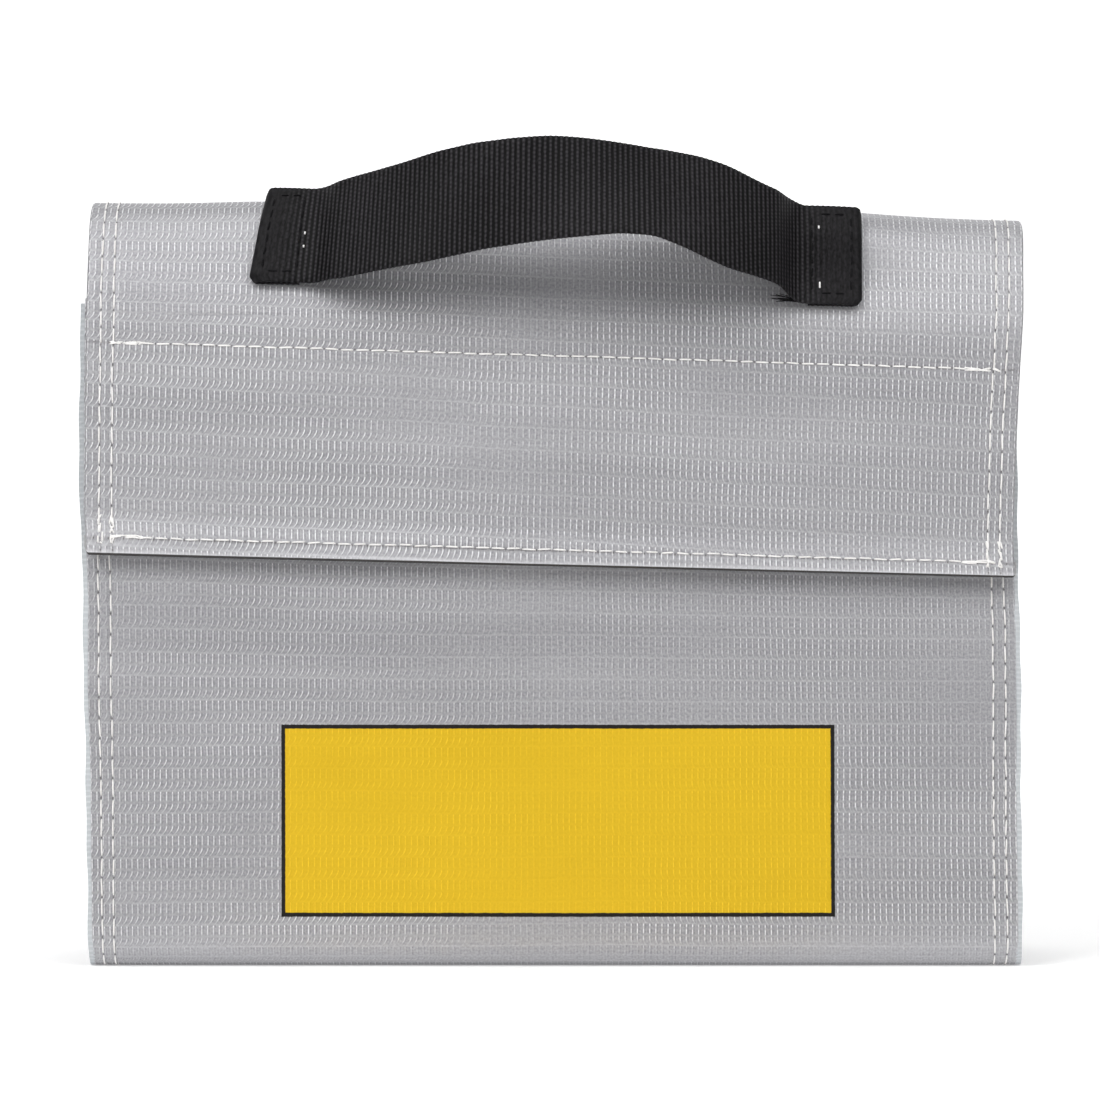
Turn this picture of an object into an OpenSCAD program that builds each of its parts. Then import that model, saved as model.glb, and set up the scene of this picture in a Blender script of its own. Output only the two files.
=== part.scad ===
// Satchel pouch of coated glass cloth with a tape-closed flap and a webbing handle.
// Origin at the middle of the base, X across the front, Y towards the back, Z up.

/* [Pouch] */
// Width of the bag over its side seams
bag_w = 240; // [200:1:280]
// Height of the pouch mouth above the base
mouth_h = 167; // [150:1:190]
// Depth of the base from front to back
base_d = 64; // [56:1:76]
// Depth of the pouch at its mouth
mouth_d = 36; // [32:1:44]
// Radius of the soft fold between the base and each wall
base_fold_r = 8; // [5:0.5:12]
// How far each gusset folds in at the mouth
gusset_fold = 25; // [10:1:30]
// How far the gusset's upper edge stays below the mouth
gusset_drop = 1; // [1:0.5:6]

/* [Cloth and seams] */
// Thickness of the coated cloth
cloth_t = 0.8; // [0.5:0.1:1]
// Width of the flange that each gusset is sewn by
flange_w = 8.5; // [7.5:0.5:12]
// How far the gusset's raw edge shows past the main panel
raw_edge = 1.2; // [0.5:0.1:2]
// Depth of the hem turned in along the mouth
mouth_hem = 10; // [6:0.5:12]
// Distance of the outer stitch row from the bag's side
outer_row = 3.8; // [3:0.1:4.5]
// Distance of the inner stitch row from the bag's side
inner_row = 6.9; // [5.5:0.1:7.5]
// Width of one row of thread
thread_w = 0.6; // [0.4:0.1:0.8]
// Height of the thread above what it is sewn to
thread_t = 0.4; // [0.2:0.1:0.6]

/* [Top and flap] */
// Rise of the top panel above the mouth
crown_rise = 23.5; // [20:0.5:28]
// Lean of the crown's straight sides from upright, in degrees
crown_lean = 22; // [16:1:28]
// Length of the flap below its fold
flap_len = 65; // [64:1:90]
// How far the flap's sides stand in from the bag's sides
flap_inset = 0.9; // [0.5:0.1:2]
// Radius of the flap's lower corners
flap_corner_r = 3; // [1:0.5:6]
// Width of the hems turned in along the sides of the top and flap
side_hem = 7.5; // [6:0.5:7.5]
// Depth of the hem turned in along the flap's lower edge
lower_hem = 2.4; // [1:0.1:2.4]

/* [Hook and loop tape] */
// Width of the tape
tape_h = 50; // [20:1:50]
// Length of the tape across the bag
tape_w = 222; // [150:1:222]
// Thickness of each tape with its pile
tape_t = 1.2; // [0.8:0.1:2]
// Gap between the two closed tapes
tape_gap = 0.3; // [0.3:0.1:1]
// Distance of the tape's upper edge below the fold
tape_drop = 12.2; // [11:0.1:14]
// Distance of the tape's stitch rows from its edges
tape_row = 0.8; // [0.6:0.1:3]

/* [Handle] */
// Width of the webbing
strap_w = 25; // [20:1:25]
// Thickness of one layer of webbing
strap_t = 1.6; // [1:0.1:2]
// Distance between the outer ends of the handle
handle_span = 155; // [120:1:180]
// Length of each sewn end, where the webbing is folded double
end_len = 12.5; // [10:0.5:20]
// Distance of the sewn ends above the front fold, along the crown
handle_up = 4.5; // [3:0.5:6]
// How far the loop stands off the crown
loop_depth = 22; // [18:1:30]
// Slope of the loop above the horizontal, in degrees
loop_slope = 22; // [18:1:26]
// Width of the middle stretch that the hand holds
grip_w = 64; // [50:1:70]
// Distance of the box stitching from the edges of a sewn end
box_row = 1.6; // [1:0.1:2.5]

/* [Hidden] */

cloth_colour = [0.66, 0.66, 0.69];
webbing_colour = [0.07, 0.07, 0.08];
tape_colour = [0.11, 0.11, 0.12];
thread_colour = [0.90, 0.88, 0.82];

// Overlap that fuses a turned hem to the cloth it is turned from
weld = 0.1;
// Space between two pieces that move on each other
hinge_gap = 0.25;
// Distance that a row of thread keeps from a fold, so that the fold can close
thread_clear = 1.5;
fold_steps = 8;
crown_steps = 20;

panel_half = bag_w / 2 - raw_edge;
flange_in = bag_w / 2 - flange_w;
flap_half = bag_w / 2 - flap_inset;
tape_half = tape_w / 2;
row_places = [bag_w / 2 - outer_row, bag_w / 2 - inner_row];

// The pouch in section, as points [y, z]: front mouth, front wall, base, back wall, back mouth
front_mouth = [-mouth_d / 2, mouth_h];
back_mouth = [mouth_d / 2, mouth_h];
front_fold_centre = [base_fold_r - base_d / 2, base_fold_r];
back_fold_centre = [base_d / 2 - base_fold_r, base_fold_r];
to_mouth = front_mouth - front_fold_centre;
wall_turn = atan2(to_mouth[1], to_mouth[0]) + acos(base_fold_r / norm(to_mouth));
wall_lean = 180 - wall_turn;
wall_len = sqrt(to_mouth * to_mouth - base_fold_r * base_fold_r);
pouch_path = concat(
    [front_mouth],
    arc_points(front_fold_centre, base_fold_r, wall_turn, 270, fold_steps),
    arc_points(back_fold_centre, base_fold_r, 270, 540 - wall_turn, fold_steps),
    [back_mouth]
);
pouch_len = path_len(pouch_path);

// The flap lies over both tapes, so its fold stands that far in front of the mouth
closure_t = cloth_t + 2 * tape_t + tape_gap;
front_fold = front_mouth - [closure_t, 0];

// The crown in section: back leg, round top, front leg
crown_half = (mouth_d + closure_t) / 2;
crown_r = (crown_half * cos(crown_lean) - crown_rise * sin(crown_lean)) / (1 - sin(crown_lean));
crown_centre = [-closure_t / 2, mouth_h + crown_rise - crown_r];
crown_path = concat(
    [back_mouth],
    arc_points(crown_centre, crown_r, crown_lean, 180 - crown_lean, crown_steps),
    [front_fold]
);
crown_len = path_len(crown_path);
crown_visible = part_of(crown_path, hinge_gap, crown_len - hinge_gap);

flap_down = [-sin(wall_lean), -cos(wall_lean)];
flap_path = [front_fold, front_fold + flap_len * flap_down];
tape_rows = [tape_drop + tape_row, tape_drop + tape_h - tape_row];

// The handle: two sewn ends on the crown's front, and the loop between them
end_top = crown_len - handle_up - strap_w;
end_bottom = crown_len - handle_up;
end_out = handle_span / 2;
end_in = end_out - end_len;
end_middle = (end_top + end_bottom) / 2;
loop_root = point_at(crown_path, end_middle);
end_path = part_of(crown_path, end_top, end_bottom);
loop_foot = end_in - strap_t;
loop_half = loop_foot - hinge_gap;
loop_steps = 40;

// Points on an arc about centre c, from angle a0 to angle a1
function arc_points(c, r, a0, a1, steps) = [
    for (i = [0:steps]) let (a = a0 + (a1 - a0) * i / steps) c + r * [cos(a), sin(a)]
];

function unit(v) = v / norm(v);
function path_len(p) = run_at(p, len(p) - 1);

// Length along path p up to its point i
function run_at(p, i) = i == 0 ? 0 : run_at(p, i - 1) + norm(p[i] - p[i - 1]);

// Point at length s along path p
function point_at(p, s, i = 0) =
    let (step = norm(p[i + 1] - p[i]))
    s <= step || i == len(p) - 2
        ? p[i] + (p[i + 1] - p[i]) * s / step
        : point_at(p, s - step, i + 1);

// The stretch of path p between lengths s0 and s1
function part_of(p, s0, s1) = concat(
    [point_at(p, s0)],
    [for (i = [0:len(p) - 1]) let (s = run_at(p, i)) if (s > s0 + weld && s < s1 - weld) p[i]],
    [point_at(p, s1)]
);

// Outward normal of the step of path p that starts at point i
function step_normal(p, i) = let (d = unit(p[i + 1] - p[i])) [d[1], -d[0]];

// Direction, with its mitre length, that shifts point i of path p outwards by one unit
function mitre(p, i) =
    let (
        before = step_normal(p, max(i - 1, 0)),
        after = step_normal(p, min(i, len(p) - 2)),
        middle = unit(before + after)
    )
    middle / (middle * before);

// Path p moved outwards by d, parallel to itself
function shifted(p, d) = [for (i = [0:len(p) - 1]) p[i] + d * mitre(p, i)];

function reversed(p) = [for (i = [len(p) - 1:-1:0]) p[i]];

// Outline of a layer between the distances lo and hi outside path p
function layer(p, lo, hi) = concat(shifted(p, lo), reversed(shifted(p, hi)));

// A layer along path p, as wide as from x0 to x1
module band(p, lo, hi, x0, x1) {
    translate([x0, 0, 0])
        rotate([90, 0, 90])
            linear_extrude(x1 - x0)
                polygon(layer(p, lo, hi));
}

// The same layer on both sides of the bag
module both_bands(p, lo, hi, x0, x1) {
    band(p, lo, hi, x0, x1);
    band(p, lo, hi, -x1, -x0);
}

// A row of thread along path p at place x, on a face that lies at distance lo
module thread_row(p, lo, x) {
    band(p, lo, lo + thread_t, x - thread_w / 2, x + thread_w / 2);
}

// A row of thread across the bag at length s along path p
module thread_across(p, lo, s, x0, x1) {
    band(part_of(p, s - thread_w / 2, s + thread_w / 2), lo, lo + thread_t, x0, x1);
}

// Drawn in the flap's plane: X across, Y up from the fold, Z out of its face
module on_flap() {
    translate([0, front_fold[0], front_fold[1]])
        rotate([90 - wall_lean, 0, 0])
            children();
}

module flap_outline() {
    corner = [flap_half - flap_corner_r, flap_corner_r - flap_len];
    polygon(concat(
        [[-flap_half, -hinge_gap]],
        arc_points([-corner[0], corner[1]], flap_corner_r, 180, 270, fold_steps),
        arc_points(corner, flap_corner_r, 270, 360, fold_steps),
        [[flap_half, -hinge_gap]]
    ));
}

// Everything inside the flap's side and lower hems
module flap_window() {
    window_half = flap_half - side_hem;
    translate([-window_half, lower_hem - flap_len])
        square([2 * window_half, flap_len]);
}

// One strip of cloth: front, base and back, with a hem turned in at the front mouth
module main_panel() {
    color(cloth_colour) {
        band(part_of(pouch_path, 0, pouch_len - hinge_gap), -cloth_t, 0, -panel_half, panel_half);
        band(
            part_of(pouch_path, 0, mouth_hem),
            -2 * cloth_t, weld - cloth_t, hinge_gap - flange_in, flange_in - hinge_gap
        );
    }
}

// Half depths and heights, as [y, z], of the rows of the gusset's web from the base to the mouth
web_in = 1.5 * cloth_t;
web_t = 1.5 * cloth_t;
web_cols = 16;
web_rises = 12;
web_arc = arc_points(back_fold_centre, base_fold_r - web_in, 270, 540 - wall_turn, fold_steps);
wall_up = [-sin(wall_lean), cos(wall_lean)];
web_rows = concat(
    web_arc,
    [for (k = [1:web_rises]) web_arc[fold_steps] + k / web_rises * (wall_len - gusset_drop) * wall_up]
);

// How far the web stands in at height z, as a share u of the way from front to back
function web_depth(z, u) =
    gusset_fold * pow(z / mouth_h, 1.3) * (1 - pow(abs(2 * u - 1), 1.6));

function web_points(x0) = [
    for (row = web_rows, i = [0:web_cols])
        let (u = i / web_cols)
        [x0 - web_depth(row[1], u), row[0] * (2 * u - 1), row[1]]
];

// The side piece: a folded web and the flange that it is sewn to the main panel by
module gusset() {
    rows = len(web_rows);
    cols = web_cols + 1;
    count = rows * cols;
    points = concat(web_points(flange_in + web_t), web_points(flange_in));
    rim = concat(
        [for (j = [0:rows - 1]) j * cols],
        [for (i = [1:cols - 1]) (rows - 1) * cols + i],
        [for (j = [rows - 2:-1:0]) j * cols + cols - 1],
        [for (i = [cols - 2:-1:1]) i]
    );
    faces = concat(
        [for (j = [0:rows - 2], i = [0:cols - 2]) let (a = j * cols + i) [a, a + cols, a + cols + 1]],
        [for (j = [0:rows - 2], i = [0:cols - 2]) let (a = j * cols + i) [a, a + cols + 1, a + 1]],
        [for (j = [0:rows - 2], i = [0:cols - 2]) let (a = count + j * cols + i) [a, a + cols + 1, a + cols]],
        [for (j = [0:rows - 2], i = [0:cols - 2]) let (a = count + j * cols + i) [a, a + 1, a + cols + 1]],
        [for (k = [0:len(rim) - 1]) let (p = rim[k], q = rim[(k + 1) % len(rim)]) [q, p, p + count]],
        [for (k = [0:len(rim) - 1]) let (p = rim[k], q = rim[(k + 1) % len(rim)]) [q, p + count, q + count]]
    );
    color(cloth_colour) {
        polyhedron(points, faces);
        band(
            part_of(pouch_path, gusset_drop, pouch_len - gusset_drop),
            -2 * cloth_t, -cloth_t, flange_in, bag_w / 2
        );
    }
}

module right_gusset() {
    gusset();
}

module left_gusset() {
    mirror([1, 0, 0]) gusset();
}

// The soft half of the closure, on the front of the pouch
module loop_tape() {
    color(tape_colour)
        band(part_of(pouch_path, tape_drop, tape_drop + tape_h), 0, tape_t, -tape_half, tape_half);
}

// Two rows down the front and two down the back, along one side of the bag
module seam_thread() {
    color(thread_colour)
        for (x = row_places) {
            thread_row(part_of(pouch_path, thread_clear, wall_len), 0, x);
            thread_row(part_of(pouch_path, pouch_len - wall_len, pouch_len - thread_clear), 0, x);
        }
}

module right_seam_thread() {
    seam_thread();
}

module left_seam_thread() {
    mirror([1, 0, 0]) seam_thread();
}

// The rows that hold the loop tape, as they show inside the pouch
module loop_tape_thread() {
    color(thread_colour)
        for (s = tape_rows)
            thread_across(pouch_path, -cloth_t - thread_t, s, -tape_half, tape_half);
}

// The cloth carried on over the mouth as a soft crown
module top_panel() {
    color(cloth_colour) {
        band(crown_visible, -cloth_t, 0, -flap_half, flap_half);
        both_bands(crown_visible, -2 * cloth_t, weld - cloth_t, flap_half - side_hem, flap_half);
    }
}

module top_hem_thread() {
    rows = part_of(crown_path, thread_clear, crown_len - thread_clear);
    color(thread_colour)
        for (x = row_places) {
            thread_row(rows, 0, x);
            thread_row(rows, 0, -x);
        }
}

// The webbing folded double and sewn flat to the crown
module handle_end() {
    color(webbing_colour)
        band(end_path, 0, 2 * strap_t, end_in, end_out);
}

module handle_right_end() {
    handle_end();
}

module handle_left_end() {
    mirror([1, 0, 0]) handle_end();
}

// The box of stitches that holds one end of the handle
module end_thread() {
    box_in = end_in + box_row;
    box_out = end_out - box_row;
    color(webbing_colour) {
        for (x = [box_in, box_out])
            thread_row(part_of(crown_path, end_top + box_row, end_bottom - box_row), 2 * strap_t, x);
        for (s = [end_top + box_row, end_bottom - box_row])
            thread_across(
                crown_path, 2 * strap_t, s + (s < end_middle ? thread_w : -thread_w) / 2,
                box_in + thread_w / 2, box_out - thread_w / 2
            );
    }
}

module right_end_thread() {
    end_thread();
}

module left_end_thread() {
    mirror([1, 0, 0]) end_thread();
}

// The cloth carried on down the front, with its hems turned in
module flap_panel() {
    color(cloth_colour)
        on_flap() {
            translate([0, 0, -cloth_t])
                linear_extrude(cloth_t) flap_outline();
            translate([0, 0, -2 * cloth_t])
                linear_extrude(cloth_t + weld)
                    difference() {
                        flap_outline();
                        flap_window();
                    }
        }
}

// The stiff half of the closure, inside the flap
module hook_tape() {
    color(tape_colour)
        band(
            part_of(flap_path, tape_drop, tape_drop + tape_h),
            -cloth_t - tape_t, -cloth_t, -tape_half, tape_half
        );
}

module flap_hem_thread() {
    rows = part_of(flap_path, thread_clear, flap_len - flap_corner_r);
    color(thread_colour)
        for (x = row_places) {
            thread_row(rows, 0, x);
            thread_row(rows, 0, -x);
        }
}

// The rows that hold the hook tape, as they show on the flap
module hook_tape_thread() {
    color(thread_colour)
        for (s = tape_rows)
            thread_across(flap_path, 0, s, -tape_half, tape_half);
}

// Height of the loop's inner face over the crown at place x
function loop_height(x) = strap_t + loop_depth * (1 - pow(x / loop_foot, 2));

function loop_points(x0, x1) = [
    for (i = [0:loop_steps]) let (x = x0 + (x1 - x0) * i / loop_steps) [x, loop_height(x)]
];

// A stretch of the loop from x0 to x1
module loop_stretch(x0, x1) {
    color(webbing_colour)
        translate([0, loop_root[0], loop_root[1]])
            rotate([180 - loop_slope, 0, 0])
                linear_extrude(strap_w, center = true)
                    polygon(layer(loop_points(x0, x1), -strap_t, 0));
}

module handle_grip() {
    loop_stretch(-grip_w / 2, grip_w / 2);
}

module handle_right_leg() {
    loop_stretch(grip_w / 2 + hinge_gap, loop_half);
}

module handle_left_leg() {
    mirror([1, 0, 0]) handle_right_leg();
}

main_panel();
left_gusset();
right_gusset();
loop_tape();
left_seam_thread();
right_seam_thread();
loop_tape_thread();
top_panel();
top_hem_thread();
handle_left_end();
handle_right_end();
left_end_thread();
right_end_thread();
flap_panel();
hook_tape();
flap_hem_thread();
hook_tape_thread();
handle_grip();
handle_left_leg();
handle_right_leg();
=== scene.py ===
# %% [markdown]
# # A battery pouch of coated glass cloth
# The real object is a flat satchel that keeps batteries while they charge. One strip of silver cloth makes
# its front, base and back, two pleated side pieces close it, and a hood of the same cloth folds over the
# mouth and ends in a flap. Hook and loop tape holds the flap, and a webbing handle is sewn to the hood. The
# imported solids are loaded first, because they say where each piece lies and how it moves. Every piece of
# cloth, tape, webbing and thread is then remade here as what it is: a thin sheet, a folded hem, a single
# stitch.

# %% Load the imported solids
import math
import random

import bpy
import numpy as np
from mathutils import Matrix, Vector


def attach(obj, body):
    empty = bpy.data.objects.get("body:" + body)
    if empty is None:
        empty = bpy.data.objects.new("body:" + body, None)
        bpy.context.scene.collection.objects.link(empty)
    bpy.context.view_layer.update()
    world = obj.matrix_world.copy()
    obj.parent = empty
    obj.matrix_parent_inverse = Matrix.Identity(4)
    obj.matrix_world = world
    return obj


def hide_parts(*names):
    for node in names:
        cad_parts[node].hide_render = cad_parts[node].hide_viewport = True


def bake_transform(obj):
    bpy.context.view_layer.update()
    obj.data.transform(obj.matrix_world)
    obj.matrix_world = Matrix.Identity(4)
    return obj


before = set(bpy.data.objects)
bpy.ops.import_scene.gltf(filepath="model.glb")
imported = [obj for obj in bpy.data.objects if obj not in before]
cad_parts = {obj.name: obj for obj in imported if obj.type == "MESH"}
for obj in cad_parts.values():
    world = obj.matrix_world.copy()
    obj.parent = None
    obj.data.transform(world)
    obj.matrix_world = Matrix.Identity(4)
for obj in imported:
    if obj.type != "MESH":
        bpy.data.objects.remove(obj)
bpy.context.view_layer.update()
mm = 0.001

# %% [markdown]
# ## The line of the bag, seen from its side
# Cut through the middle, the bag is one line of cloth: down the front, under the base, up the back, over
# the mouth as a soft hood and down again as the flap. It could be drawn as a curve object, but every later
# piece has to find its place on it, so the line is kept as numbers: straight stretches, with a round at
# each fold. A place on the bag is then three numbers: x across, s along the line, and out from the cloth's
# face.

# %% Folds of the line
folds = [
    (-18.0, 167.0, 0.0),      # y, z and rounding of the mouth, in front
    (-32.737, 0.0, 8.0),      # front of the base
    (32.737, 0.0, 8.0),       # back of the base
    (18.0, 167.0, 7.0),       # mouth, at the back
    (-1.75, 215.89, 14.1),    # where the legs of the hood would meet
    (-21.5, 167.0, 55.0),     # fold of the flap, hardly creased
    (-27.214, 102.25, 0.0),   # lower edge of the flap
]


def unit(v):
    return v / np.linalg.norm(v, axis=-1, keepdims=True)


def smooth(t):
    t = np.clip(t, 0.0, 1.0)
    return t * t * (3.0 - 2.0 * t)


def rounded_line(corners, arc_steps=40):
    """Points along a line with rounded corners, and the number of the point in the middle of each corner."""
    points, middles = [], []
    for k, (y, z, radius) in enumerate(corners):
        here = np.array((y, z)) * mm
        if not radius:
            middles.append(len(points))
            points.append(here)
            continue
        back = unit(np.array(corners[k - 1][:2]) * mm - here)
        ahead = unit(np.array(corners[k + 1][:2]) * mm - here)
        half = math.acos(back @ ahead) / 2
        centre = here + unit(back + ahead) * radius * mm / math.sin(half)
        first = here + back * radius * mm / math.tan(half) - centre
        last = here + ahead * radius * mm / math.tan(half) - centre
        turn = math.pi - 2 * half
        middles.append(len(points) + arc_steps // 2)
        for t in np.linspace(0, 1, arc_steps + 1):
            share = (math.sin((1 - t) * turn) * first + math.sin(t * turn) * last) / math.sin(turn)
            points.append(centre + share)
    return np.array(points), middles


corner_points, corner_numbers = rounded_line(folds)
corner_runs = np.concatenate([[0], np.cumsum(np.linalg.norm(np.diff(corner_points, axis=0), axis=1))])
fold_runs = [corner_runs[n] for n in corner_numbers]
_, base_front, base_back, back_mouth, _, flap_fold, flap_end = fold_runs

line_run = np.linspace(0, flap_end, 2400)
line_y = np.interp(line_run, corner_runs, corner_points[:, 0])
line_z = np.interp(line_run, corner_runs, corner_points[:, 1])
line_way = unit(np.stack([np.gradient(line_y), np.gradient(line_z)], axis=-1))
print("length of the line", round(flap_end / mm, 1), "mm; folds at", [round(r / mm, 1) for r in fold_runs])

# %% [markdown]
# ## How the bag has settled
# Sewn cloth never stands as square as its pattern. This bag leans a little towards its right, is a touch
# narrower at the base, and its walls belly and ripple between the seams. A lattice could do that, but it
# would have to be put on every piece. One function that moves points keeps cloth, thread and webbing
# together.

# %% Lean, belly and ripple of the cloth
lean_heights = [60 * mm, 105 * mm, 170 * mm]
lean_slopes = [0.0, -0.0237, -0.0194]
side_heights = np.array([0, 35, 52, 70, 88, 97, 106, 112, 141, 156, 168, 180, 192]) * mm
left_draw = np.array([3.5, 2.8, 2.4, 1.65, 1.5, 1.25, 0.7, 0.2, 0.0, 0.0, 0.0, 0.0, 0.0]) * mm
right_draw = np.array([1.4, 1.6, 1.5, 1.4, 1.4, 1.6, 1.8, 1.95, 1.5, 0.8, 0.0, -0.4, -1.0]) * mm
bag_half, belly = 120 * mm, 2.2 * mm
belly_half, belly_top = 116 * mm, 172 * mm    # side seams and hood hold the walls there
handle_pull, upright_pull = 1.3 * mm, 3.2 * mm
pull_at, pull_half = 68 * mm, 24 * mm         # the sewn ends of the handle


def wall_share(y):
    """-1 on the front walls, +1 on the back wall, and a soft change over the hood and base between them."""
    return np.tanh(y / (9 * mm))


def settle(points):
    """Moves points from the pattern's square shape to the way the bag stands."""
    x, y, z = (points[..., k].copy() for k in range(3))
    fronted = smooth((18 * mm - y) / (19 * mm))
    between = np.clip(1 - (x / belly_half) ** 2, 0, 1)
    standing = np.sin(np.pi * np.clip(z / belly_top, 0, 1)) ** 0.8
    ripple = (
        0.55 * np.sin(2 * np.pi * (x / 0.131 + 0.21)) * np.sin(2 * np.pi * (z / 0.104 + 0.13))
        + 0.40 * np.sin(2 * np.pi * (x / 0.083 - z / 0.126 + 0.4))
        + 0.22 * np.sin(2 * np.pi * (x / 0.047 + z / 0.071))
    ) * mm
    outward = between * standing * (belly + ripple)
    draw = np.where(x < 0, np.interp(z, side_heights, left_draw), -np.interp(z, side_heights, right_draw))
    pulled = np.exp(-((np.abs(x) - pull_at) / pull_half) ** 2) * smooth((z - belly_top) / (16 * mm))
    return np.stack([
        x + draw * np.abs(x / bag_half) ** 3,
        y + wall_share(y) * outward - upright_pull * pulled * smooth((x - 20 * mm) / (45 * mm)),
        z + np.interp(z, lean_heights, lean_slopes) * x * fronted + handle_pull * pulled,
    ], axis=-1)


# %% Places on the bag
def on_line(s, out):
    """Heights y and z of places along the line, moved out from the face, and straight on past its end."""
    way_y = np.interp(s, line_run, line_way[:, 0])
    way_z = np.interp(s, line_run, line_way[:, 1])
    past = np.maximum(s - flap_end, 0)
    y = np.interp(s, line_run, line_y) + way_y * past
    return y + way_z * out, np.interp(s, line_run, line_z) + way_z * past - way_y * out


def on_bag(x, s, out=0.0):
    """The settled point at x across, s along the line and out from the face."""
    x, s, out = np.broadcast_arrays(np.asarray(x, float), np.asarray(s, float), np.asarray(out, float))
    y, z = on_line(s, out)
    return settle(np.stack([x, y, z], axis=-1))


print("front mouth settles from", on_bag(-bag_half, 0.0).round(4), "to", on_bag(bag_half, 0.0).round(4))

# %% [markdown]
# ## From a flat grid to a piece of cloth
# A sheet starts as a grid primitive, as cloth starts flat on the cutting table. Its columns and rows aren't
# evenly spaced: they crowd together beside each line of stitches and round each turned edge, where the
# cloth bends most. Each crossing is then carried to its place, and its place on the flat sheet is kept as
# its UV, in metres, so that the weave follows the cloth over every fold.

# %% Columns and rows
least_gap = 0.12 * mm
beside_line = (0, 0.35, 0.8, 1.5)


def spread(start, stop, step, lines=()):
    """Places a step apart from start to stop, with closer ones beside each stitched line."""
    places = list(np.linspace(start, stop, max(2, round((stop - start) / step) + 1)))
    beside = [line + side * near * mm for line in lines for near in beside_line for side in (-1, 1)]
    kept = [start]
    for place in sorted(places + [b for b in beside if start < b < stop]):
        if place - kept[-1] > least_gap:
            kept.append(place)
    kept[-1] = stop
    return np.array(kept)


def mirrored(half):
    return np.concatenate([-half[:0:-1], half])


plain, stitched = spread(0, 20 * mm, 5 * mm), spread(0, 20 * mm, 5 * mm, [10 * mm])
print("20 mm of cloth has", len(plain), "rows, or", len(stitched), "with a line of stitches in it")

# %% The grid itself
def write_uv(mesh, u, v):
    """Gives each face corner the flat place (u, v) of its vertex."""
    if not mesh.uv_layers:
        mesh.uv_layers.new()
    mesh.uv_layers[0].name = "cloth_run"
    corner = np.zeros(len(mesh.loops), int)
    mesh.loops.foreach_get("vertex_index", corner)
    flat = np.stack([u[corner], v[corner]], axis=-1)
    mesh.uv_layers[0].data.foreach_set("uv", flat.astype(np.float32).ravel())
    mesh.update()


def lay_grid(name, columns, rows, place):
    """A grid whose crossings are carried by place(x, s); its UV holds x and s on the flat sheet."""
    bpy.ops.object.select_all(action="DESELECT")
    bpy.ops.mesh.primitive_grid_add(x_subdivisions=len(columns) - 1, y_subdivisions=len(rows) - 1, size=2)
    sheet = bpy.context.object
    mesh = sheet.data
    sheet.name = mesh.name = name
    flat = np.zeros(len(mesh.vertices) * 3)
    mesh.vertices.foreach_get("co", flat)
    flat = flat.reshape(-1, 3)
    column = np.rint((flat[:, 0] + 1) / 2 * (len(columns) - 1)).astype(int)
    row = np.rint((flat[:, 1] + 1) / 2 * (len(rows) - 1)).astype(int)
    x, s = columns[::-1][column], rows[row]
    mesh.vertices.foreach_set("co", place(x, s).astype(np.float32).ravel())
    write_uv(mesh, x, s)
    return sheet


# %% [markdown]
# A hem is the edge of the sheet turned under: the cloth runs round a small half circle and back below
# itself. The Solidify modifier then gives the sheet its thickness. It could come first, but a thin sheet is
# easier to fold. Pieces that no grid can give are put together from points and faces, by one more helper.

# %% Turned edges, thickness and other pieces
def turn_under(t, edge, radius):
    """Where a place t lands when the cloth is turned under at edge: its new place, and how far it drops."""
    over = np.maximum(t - (edge - radius), 0)
    angle = np.minimum(over / radius, math.pi)
    past = np.maximum(over - math.pi * radius, 0)
    return np.minimum(t, edge - radius) + radius * np.sin(angle) - past, radius * (1 - np.cos(angle))


def turned_places(edge, radius, hem):
    """Places round a turned edge and along its hem, measured on the flat sheet."""
    curl = edge - radius + np.linspace(0, math.pi, 8) * radius
    return np.concatenate([curl, curl[-1] + np.linspace(0, hem, 6)[1:]])


def thicken(sheet, thickness, finishes):
    """Gives a sheet its thickness, inwards from its face, with a finish each for face, back and cut edge."""
    for finish in finishes:
        sheet.data.materials.append(finish)
    bpy.ops.object.select_all(action="DESELECT")
    sheet.select_set(True)
    bpy.context.view_layer.objects.active = sheet
    solid = sheet.modifiers.new("thickness", "SOLIDIFY")
    solid.thickness = thickness
    solid.offset = -1
    solid.material_offset = min(1, len(finishes) - 1)
    solid.material_offset_rim = min(2, len(finishes) - 1)
    bpy.ops.object.modifier_apply(modifier=solid.name)
    bpy.ops.object.shade_smooth_by_angle(angle=math.radians(40))
    print(sheet.name, "has", len(sheet.data.polygons), "faces")


def new_piece(name, points, faces, finish=None):
    """A piece made of points and faces, smooth all over."""
    mesh = bpy.data.meshes.new(name)
    mesh.from_pydata(points.reshape(-1, 3).tolist(), [], faces)
    if finish:
        mesh.materials.append(finish)
    mesh.shade_smooth()
    piece = bpy.data.objects.new(name, mesh)
    bpy.context.collection.objects.link(piece)
    return piece


# %% [markdown]
# ## Finishes made of nodes
# Cloth, thread and webbing all get their colour, roughness and bump from patterns of nodes. Written node by
# node, a weave would take pages. Here a Field stands for a value that changes over the surface, and adding
# or multiplying fields puts the Math nodes into the material. A Finish is a material with its shader, and
# adds the other nodes that the finishes of this bag need.

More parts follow.
